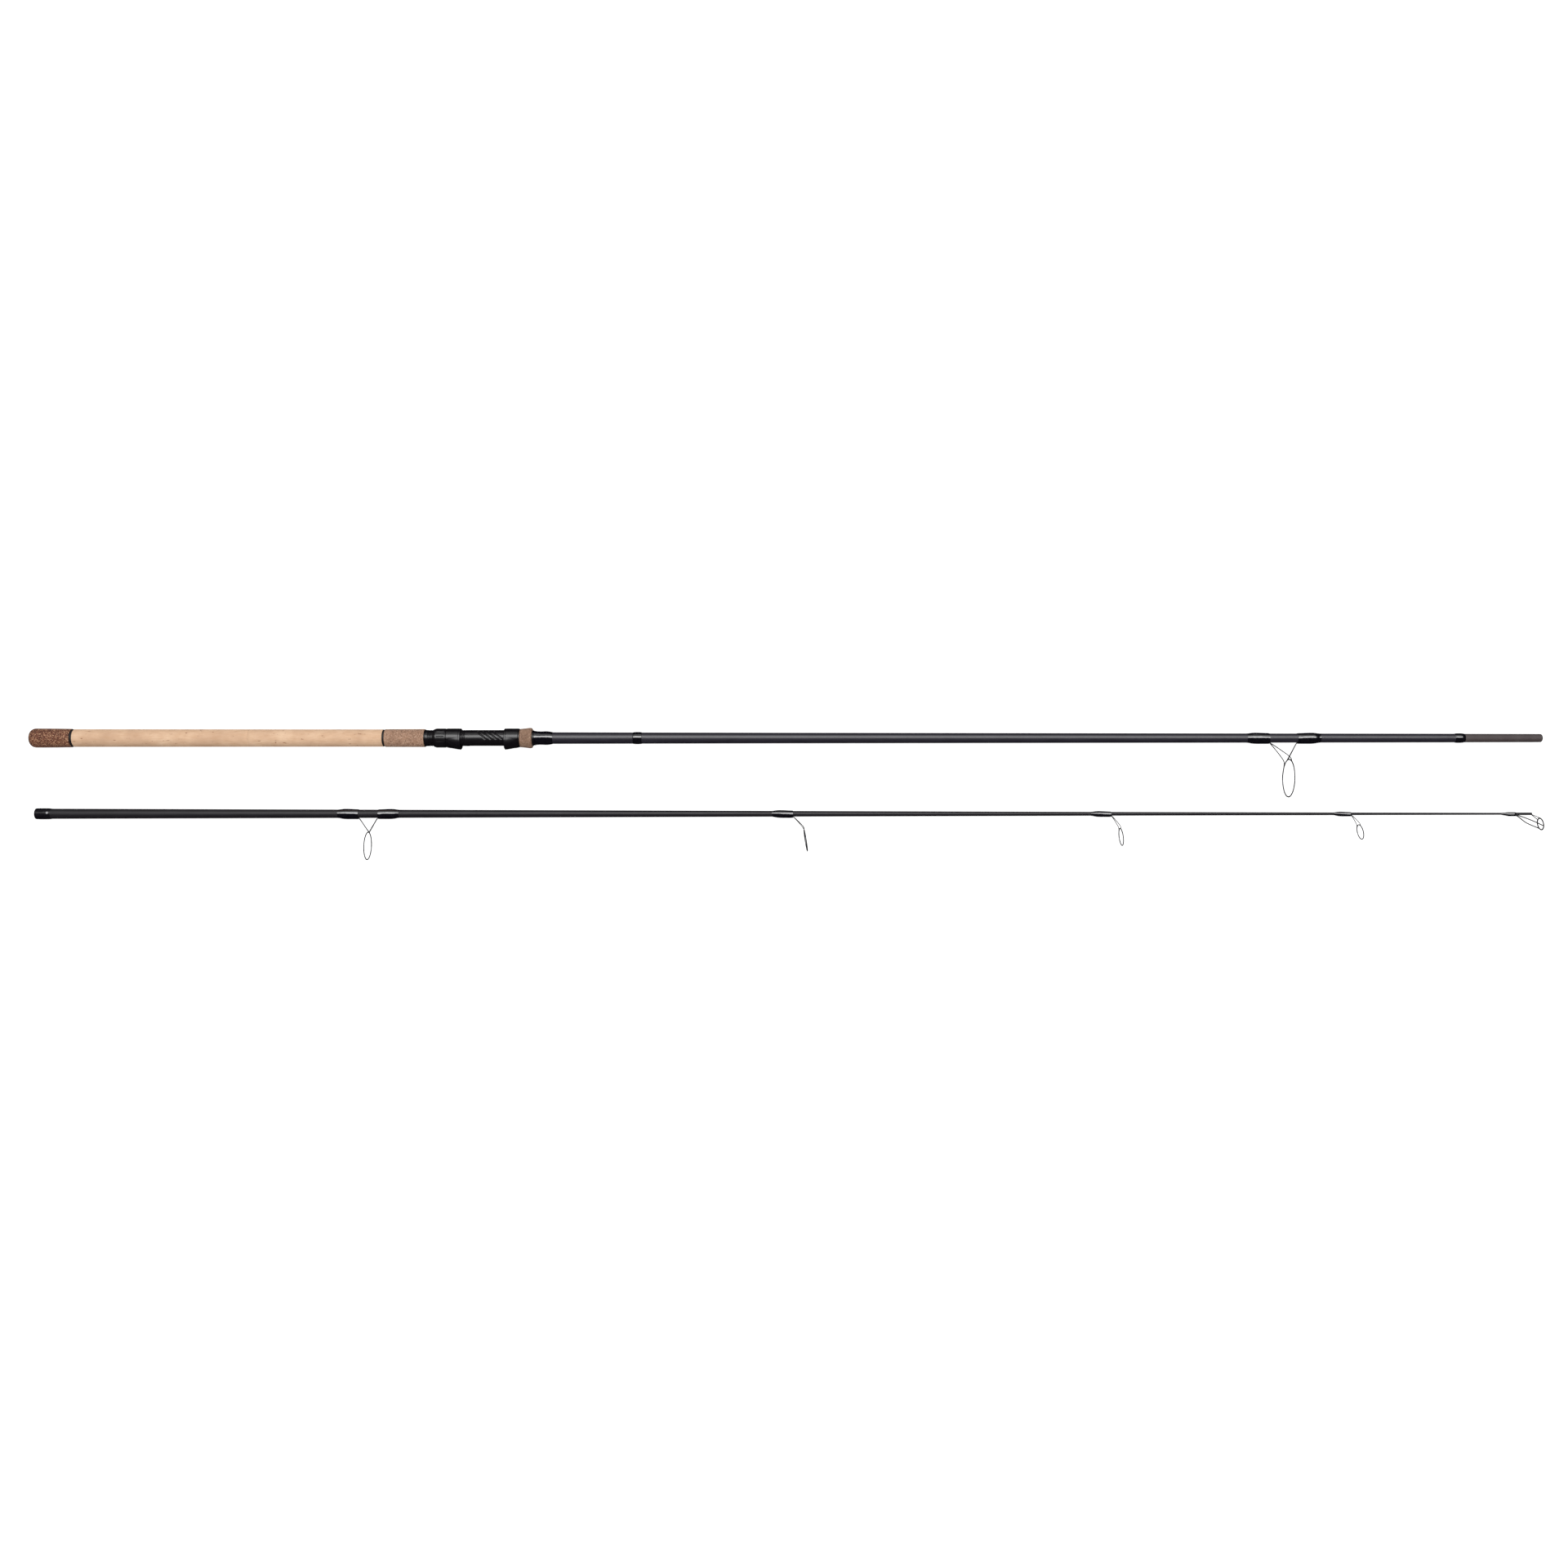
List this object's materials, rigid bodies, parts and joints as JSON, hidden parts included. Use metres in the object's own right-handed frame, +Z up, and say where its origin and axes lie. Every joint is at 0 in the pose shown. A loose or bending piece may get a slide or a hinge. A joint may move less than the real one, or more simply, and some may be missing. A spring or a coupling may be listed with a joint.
{
  "type": "spinning rod",
  "caption": "Two-piece spinning rod for a fixed-spool reel, taken apart: cork-handled butt section with a screw-locked reel seat, and a tip section, both with line guides.",
  "frame": {"origin": "centre of the box around both sections, on the surface that they lie on", "axes": "+X along both rods from butt to tip, +Y from the tip section to the butt section, +Z up"},
  "size_m": [1.8529, 0.162, 0.0473],
  "materials": {
    "cork": "smooth natural cork, sanded, with short dark pits",
    "cap_cork": "dark red-brown burl cork with tan specks",
    "rubber_cork": "grey-brown rubberised cork with fine specks",
    "black_rubber": "matt black",
    "seat_plastic": "satin black moulded nylon",
    "carbon_blank": "satin blue-black carbon tube, bare and sanded at the male ferrule",
    "whipping": "black thread under clear gloss epoxy",
    "guide_wire": "black-plated stainless wire",
    "ring_ceramic": "polished dark ceramic",
    "arbor": "foamed bushing"
  },
  "bodies": {
    "butt_section": {"butt_end_button": "black_rubber", "butt_cap_ring": "black_rubber", "grip_ring": "black_rubber", "male_ferrule_plug": "black_rubber", "butt_cap": "cap_cork", "rear_grip_lower": "cork", "rear_grip_upper": "cork", "fore_grip": "rubber_cork", "front_grip": "rubber_cork", "seat_rear_ring": "seat_plastic", "reel_seat_barrel": "seat_plastic", "fixed_hood": "seat_plastic", "seat_front_ring": "seat_plastic", "front_check": "seat_plastic", "seat_arbor_rear": "arbor", "seat_arbor_front": "arbor", "butt_blank": "carbon_blank", "seat_whipping": "whipping", "trim_whipping": "whipping", "male_ferrule_whipping": "whipping", "guide_1_rear_wrap": "whipping", "guide_1_front_wrap": "whipping", "guide_1_frame": "guide_wire", "guide_1_insert": "ring_ceramic"},
    "sliding_hood": {"sliding_hood": "seat_plastic"},
    "lock_nut": {"lock_nut": "seat_plastic"},
    "tip_section": {"tip_blank": "carbon_blank", "socket_whipping": "whipping", "guide_2_rear_wrap": "whipping", "guide_2_front_wrap": "whipping", "guide_3_wrap": "whipping", "guide_4_wrap": "whipping", "guide_5_wrap": "whipping", "tip_top_wrap": "whipping", "guide_2_frame": "guide_wire", "guide_2_insert": "ring_ceramic", "guide_3_frame": "guide_wire", "guide_3_insert": "ring_ceramic", "guide_4_frame": "guide_wire", "guide_4_insert": "ring_ceramic", "guide_5_frame": "guide_wire", "guide_5_insert": "ring_ceramic", "tip_top_frame": "guide_wire", "tip_top_insert": "ring_ceramic"}
  },
  "joints": [
    {"name": "hood_slide", "type": "slide", "parent": "butt_section", "child": "sliding_hood", "axis": [1, 0, 0], "range_m": [-0.006, 0.02]},
    {"name": "nut_spin", "type": "hinge", "parent": "sliding_hood", "child": "lock_nut", "pos_m": [-0.42444, 0.06923, 0.0126], "axis": [1, 0, 0], "range_deg": [-1080, 3600]},
    {"name": "tip_lift", "type": "slide", "parent": "butt_section", "child": "tip_section", "axis": [0, 0, 1], "range_m": [0, 0.25]}
  ],
  "couplings": [
    {"joint": "hood_slide", "follows": "nut_spin", "m_per_rad": 0.00031831}
  ]
}
